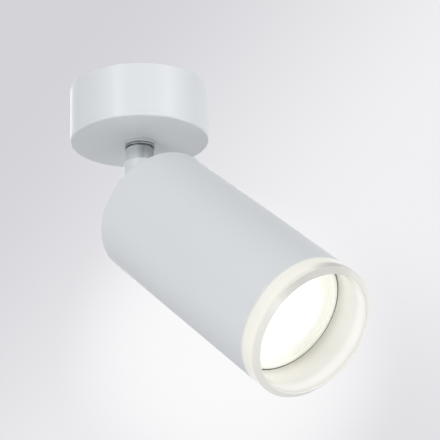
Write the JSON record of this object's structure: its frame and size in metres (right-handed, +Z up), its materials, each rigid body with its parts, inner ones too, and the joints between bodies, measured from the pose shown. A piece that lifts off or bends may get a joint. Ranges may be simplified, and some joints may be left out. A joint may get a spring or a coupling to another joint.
{
  "type": "ceiling spotlight",
  "caption": "Surface mounted ceiling spotlight: round ceiling cup, swivelling and tilting stem, matt white tube head with a frosted clear-plastic ring round a recessed lamp.",
  "frame": {"origin": "centre of the ceiling cup's rim, in the plane that lies against the ceiling", "axes": "+Z up into the ceiling; the head leans towards +X and tilts about a pivot along Y"},
  "size_m": [0.1404, 0.06, 0.1516],
  "materials": {
    "white_paint": "matt fine-grained white powder coat",
    "steel": "zinc-plated, satin",
    "brass": "bright",
    "white_nylon": "moulded",
    "terminal_plastic": "moulded polyamide",
    "ceramic": "unglazed steatite",
    "frosted_acrylic": "frosted, translucent",
    "lamp_plastic": "moulded",
    "diffuser": "satin diffuser, lit from behind",
    "lead_sleeving": "glass-fibre and silicone sleeving",
    "board": "white solder mask"
  },
  "bodies": {
    "ceiling_base": {"ceiling_cup": "white_paint", "mounting_plate": "steel", "side_screws": "steel", "earth_screw": "brass", "earth_washer": "brass", "terminal_block": "terminal_plastic", "terminal_sleeves": "brass", "clamp_screws": "steel", "block_screws": "steel", "supply_leads": "lead_sleeving", "swivel_bush": "white_nylon", "stop_pin": "steel"},
    "swivel_stem_body": {"swivel_stem": "white_paint", "swivel_spacer": "steel", "stop_washer": "steel", "spring_washer": "steel", "swivel_nut": "steel", "pivot_screw": "steel", "pivot_washer": "steel", "pivot_nut": "steel", "friction_washers": "white_nylon"},
    "head": {"knuckle": "white_paint", "body_tube": "white_paint", "rear_cap": "white_paint", "holder_bracket": "steel", "earth_tag": "brass", "knuckle_nut": "steel", "lamp_holder": "ceramic", "holder_contacts": "brass", "holder_screws": "steel", "holder_nuts": "steel", "lamp_leads": "lead_sleeving", "acrylic_ring": "frosted_acrylic"},
    "lamp": {"lamp_housing": "lamp_plastic", "led_board": "board", "lens_seat": "lamp_plastic", "lamp_lens": "diffuser", "lamp_pins": "steel"}
  },
  "joints": [
    {"name": "swivel", "type": "hinge", "parent": "ceiling_base", "child": "swivel_stem_body", "pos_m": [0, 0, -0.024], "axis": [0, 0, 1], "range_deg": [-168, 168]},
    {"name": "tilt", "type": "hinge", "parent": "swivel_stem_body", "child": "head", "pos_m": [0, 0, -0.0505], "axis": [0, -1, 0], "range_deg": [-49, 31]},
    {"name": "lamp_turn", "type": "hinge", "parent": "head", "child": "lamp", "pos_m": [0.04408, 0, -0.08881], "axis": [0.7547, 0, -0.6561], "range_deg": [0, 22]}
  ]
}
